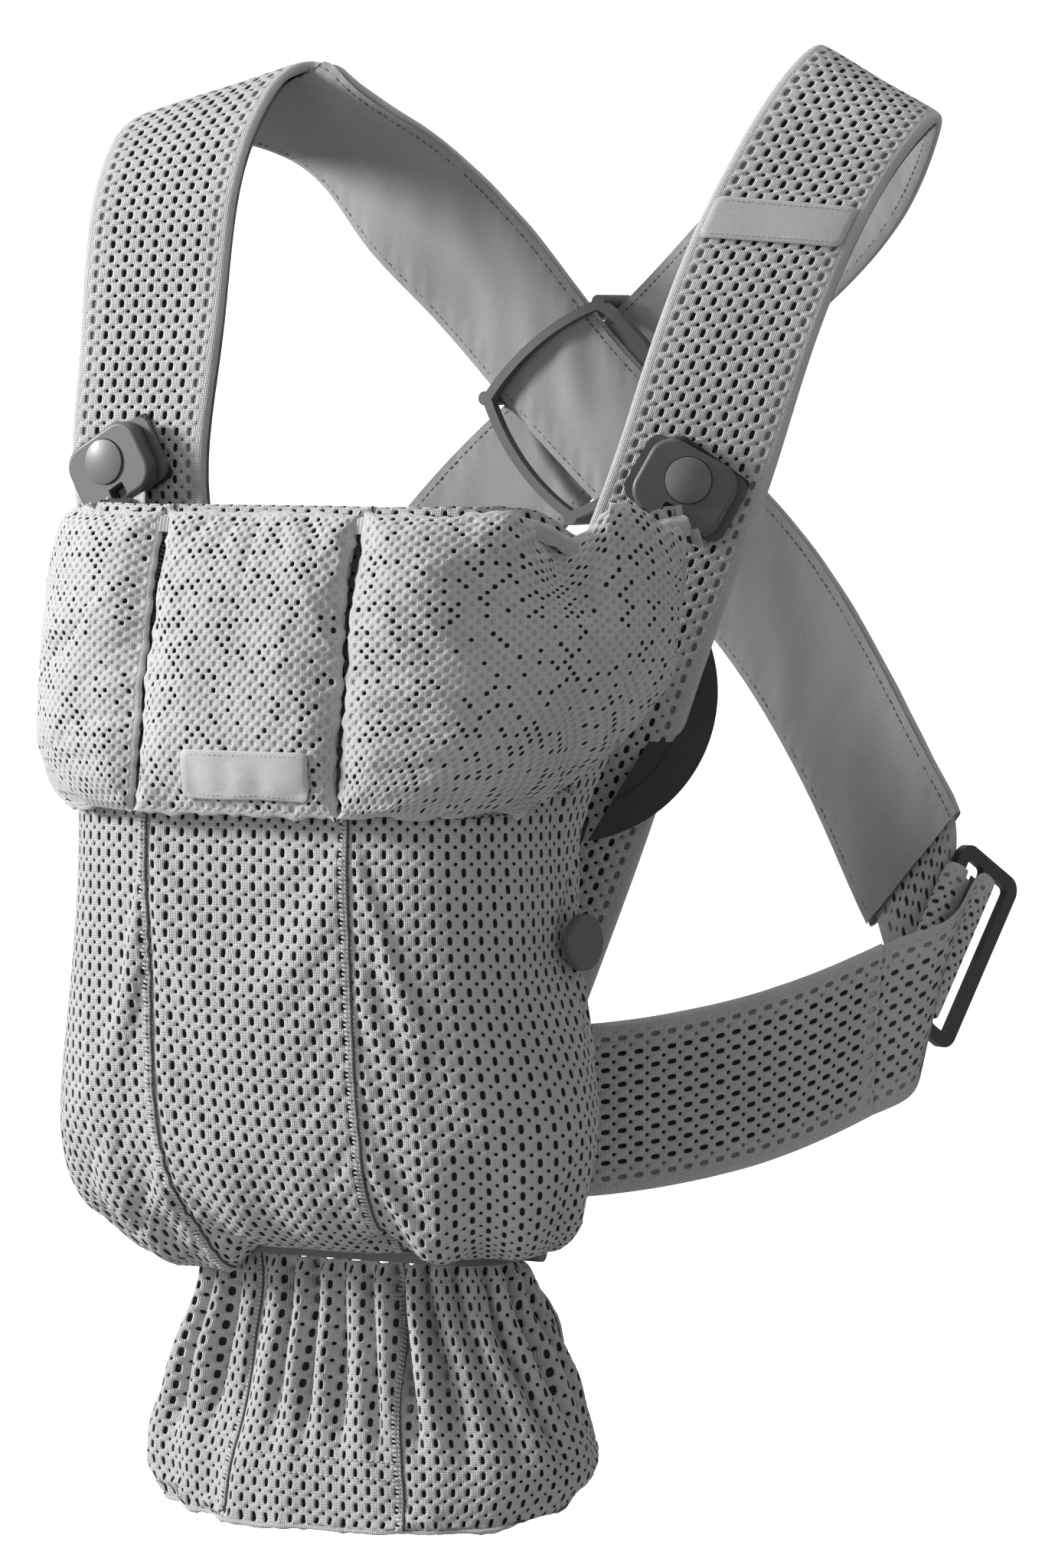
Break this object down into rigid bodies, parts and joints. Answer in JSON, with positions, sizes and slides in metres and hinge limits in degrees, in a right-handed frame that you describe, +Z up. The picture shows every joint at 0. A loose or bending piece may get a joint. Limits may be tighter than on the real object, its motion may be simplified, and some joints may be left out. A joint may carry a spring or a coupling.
{
  "type": "soft baby carrier",
  "caption": "Soft front baby carrier with crossed shoulder straps, waist belt, padded mesh front panel, fold-down head support, strap clips and hip sliders.",
  "frame": {"origin": "midway between the two crowns of the shoulder straps, where they rest on the wearer's shoulders", "axes": "+Z up, -Y to the front where the child sits, +X to the right seen from the front"},
  "size_m": [0.3974, 0.3378, 0.6268],
  "materials": {
    "button_plastic": "satin moulded",
    "dark_plastic": "fine moulded grain",
    "dark_webbing": "flat woven webbing",
    "foam": "thin polyurethane foam, hidden",
    "grey_plastic": "fine moulded grain",
    "harness_mesh": "knitted spacer mesh with open oval holes",
    "head_mesh": "spacer mesh, pebbled inner face with round holes",
    "label_cloth": "satin woven label, plain",
    "lining_fabric": "smooth woven lining",
    "panel_mesh": "knitted spacer mesh with open oval holes",
    "soft_rubber": "smooth matt",
    "spring_steel": "bright spring steel"
  },
  "bodies": {
    "harness": {"back_crosspiece": "grey_plastic", "belt_foam_left": "foam", "belt_foam_right": "foam", "belt_lining_left": "lining_fabric", "belt_lining_right": "lining_fabric", "belt_mesh_left": "harness_mesh", "belt_mesh_right": "harness_mesh", "buckle_patch_left": "dark_webbing", "buckle_patch_right": "dark_webbing", "buckle_plate_left": "grey_plastic", "buckle_plate_right": "grey_plastic", "guard_tab_left": "dark_webbing", "guard_tab_right": "dark_webbing", "ring_hanger": "dark_webbing", "seat_gather": "panel_mesh", "side_guard_left": "soft_rubber", "side_guard_right": "soft_rubber", "size_ring": "grey_plastic", "strap_foam_left": "foam", "strap_foam_right": "foam", "strap_label": "label_cloth", "strap_lining_left": "lining_fabric", "strap_lining_right": "lining_fabric", "strap_loop_left": "harness_mesh", "strap_loop_right": "harness_mesh", "strap_mesh_left": "harness_mesh", "strap_mesh_right": "harness_mesh", "strap_tab_left": "harness_mesh", "strap_tab_right": "harness_mesh", "tail": "panel_mesh"},
    "front_panel": {"clip_body_left": "grey_plastic", "clip_body_right": "grey_plastic", "clip_spring_left": "spring_steel", "clip_spring_right": "spring_steel", "leg_socket_left": "dark_plastic", "leg_socket_right": "dark_plastic", "panel_center": "panel_mesh", "panel_ear_left": "panel_mesh", "panel_ear_right": "panel_mesh", "panel_lining": "lining_fabric", "panel_side_left": "panel_mesh", "panel_side_right": "panel_mesh"},
    "head_center": {"head_cover_center": "head_mesh", "head_foam_center": "foam", "head_label": "label_cloth"},
    "head_wing_left": {"head_cover_wing_left": "head_mesh", "head_foam_wing_left": "foam"},
    "head_wing_right": {"head_cover_wing_right": "head_mesh", "head_foam_wing_right": "foam"},
    "button_left": {"clip_button_left": "button_plastic"},
    "button_right": {"clip_button_right": "button_plastic"},
    "leg_stud_left": {"leg_button_left": "dark_plastic"},
    "leg_stud_right": {"leg_button_right": "dark_plastic"},
    "slider_left": {"belt_end_left": "harness_mesh", "slider_left": "dark_plastic"},
    "slider_right": {"belt_end_right": "harness_mesh", "slider_right": "dark_plastic"}
  },
  "joints": [
    {"name": "front_panel_open", "type": "hinge", "parent": "harness", "child": "front_panel", "pos_m": [0, -0.212, -0.466], "axis": [1, 0, 0], "range_deg": [0, 90]},
    {"name": "head_support_fold", "type": "hinge", "parent": "front_panel", "child": "head_center", "pos_m": [0, -0.213, -0.175], "axis": [-1, 0, 0], "range_deg": [0, 150]},
    {"name": "head_wing_right_fold", "type": "hinge", "parent": "front_panel", "child": "head_wing_right", "pos_m": [0.05, -0.213, -0.175], "axis": [-0.6548, -0.7465, 0.1179], "range_deg": [0, 150]},
    {"name": "head_wing_left_fold", "type": "hinge", "parent": "front_panel", "child": "head_wing_left", "pos_m": [-0.05, -0.213, -0.175], "axis": [-0.6548, 0.7465, -0.1179], "range_deg": [0, 150]},
    {"name": "clip_button_left_press", "type": "slide", "parent": "front_panel", "child": "button_left", "axis": [0.0599, 0.998, -0.02], "range_m": [0, 0.0025], "stiffness_N_per_m": 800, "springref_m": -0.0008},
    {"name": "clip_button_right_press", "type": "slide", "parent": "front_panel", "child": "button_right", "axis": [-0.4103, 0.9106, -0.05], "range_m": [0, 0.0025], "stiffness_N_per_m": 800, "springref_m": -0.0008},
    {"name": "leg_stud_left_pull", "type": "slide", "parent": "front_panel", "child": "leg_stud_left", "axis": [-0.9927, -0.1203, 0], "range_m": [0, 0.004]},
    {"name": "leg_stud_right_pull", "type": "slide", "parent": "front_panel", "child": "leg_stud_right", "axis": [0.9927, -0.1203, 0], "range_m": [0, 0.004]},
    {"name": "slider_left_tilt", "type": "hinge", "parent": "harness", "child": "slider_left", "pos_m": [-0.17761, 0.0464, -0.3618], "axis": [-0.1501, 0.5204, 0.8406], "range_deg": [0, 20]},
    {"name": "slider_right_tilt", "type": "hinge", "parent": "harness", "child": "slider_right", "pos_m": [0.17761, 0.0464, -0.3618], "axis": [-0.1501, -0.5204, -0.8406], "range_deg": [0, 20]}
  ],
  "couplings": [
    {"joint": "head_wing_left_fold", "follows": "head_support_fold", "ratio": 1},
    {"joint": "head_wing_right_fold", "follows": "head_support_fold", "ratio": 1}
  ]
}
